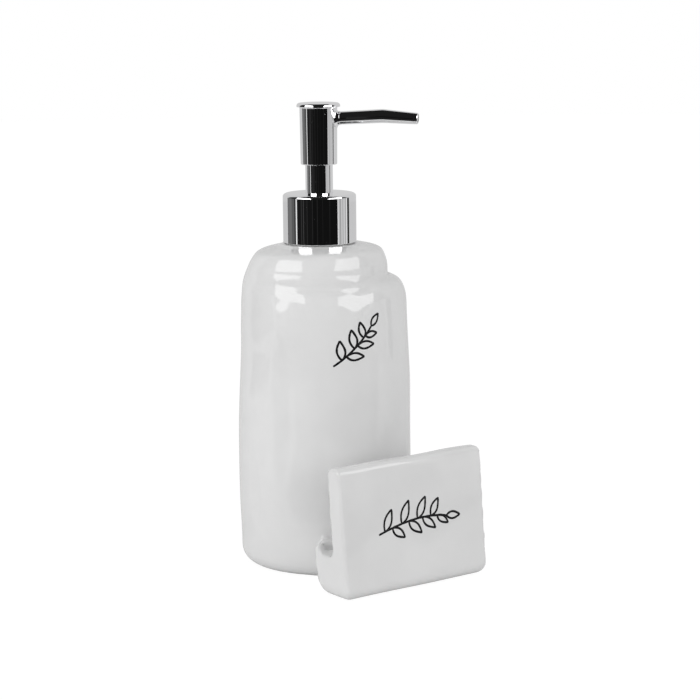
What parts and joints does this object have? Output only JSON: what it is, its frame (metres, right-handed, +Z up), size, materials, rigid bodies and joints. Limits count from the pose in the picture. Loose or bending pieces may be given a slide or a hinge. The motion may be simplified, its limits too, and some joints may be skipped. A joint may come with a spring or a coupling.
{
  "type": "soap pump caddy",
  "caption": "Hand-formed white ceramic soap bottle with a chromed lotion pump and a sponge tray cast on its front.",
  "frame": {"origin": "on the surface that the caddy stands on, on the pump's axis", "axes": "+Z up along the pump's axis, -Y towards the sponge tray, +X to the right of somebody who faces the tray"},
  "size_m": [0.0822, 0.1116, 0.2163],
  "materials": {
    "glazed_ceramic": "gloss white glaze over a hand-formed body",
    "chrome": "mirror chrome plating",
    "natural_plastic": "natural moulded polypropylene",
    "white_plastic": "white moulded plastic",
    "gasket_foam": "grey foamed sealing washer",
    "piston_plastic": "soft polyethylene",
    "adhesive": "cured sealant",
    "spring_steel": "bright drawn wire"
  },
  "bodies": {
    "bottle": {"caddy_body": "glazed_ceramic", "neck_insert": "white_plastic", "insert_bond": "adhesive"},
    "pump": {"neck_gasket": "gasket_foam", "neck_sleeve": "chrome", "lock_ring": "white_plastic", "pump_housing": "natural_plastic", "ball_retainer": "natural_plastic", "dip_tube": "natural_plastic", "return_spring": "spring_steel"},
    "collar": {"collar_shell": "chrome", "collar_liner": "white_plastic"},
    "plunger": {"stem": "natural_plastic", "stem_tip": "natural_plastic"},
    "head": {"head_shell": "chrome", "head_core": "white_plastic", "nozzle": "chrome", "nozzle_tube": "natural_plastic"},
    "piston": {"piston_seal": "piston_plastic"},
    "ball": {"check_ball": "spring_steel"}
  },
  "joints": [
    {"name": "pump_lift", "type": "slide", "parent": "bottle", "child": "pump", "axis": [0, 0, 1], "range_m": [0, 0.165]},
    {"name": "collar_turn", "type": "hinge", "parent": "pump", "child": "collar", "pos_m": [0, 0, 0.163], "axis": [0, 0, 1], "range_deg": [0, 450]},
    {"name": "pump_press", "type": "slide", "parent": "pump", "child": "plunger", "axis": [0, 0, -1], "range_m": [0, 0.012], "stiffness_N_per_m": 700, "springref_m": -0.007, "deforming": ["return_spring"]},
    {"name": "head_turn", "type": "hinge", "parent": "plunger", "child": "head", "pos_m": [0, 0, 0.2], "axis": [0, 0, 1], "continuous": true},
    {"name": "piston_slip", "type": "slide", "parent": "plunger", "child": "piston", "axis": [0, 0, 1], "range_m": [0, 0.0012]},
    {"name": "ball_lift", "type": "slide", "parent": "pump", "child": "ball", "axis": [0, 0, 1], "range_m": [0, 0.002]}
  ]
}
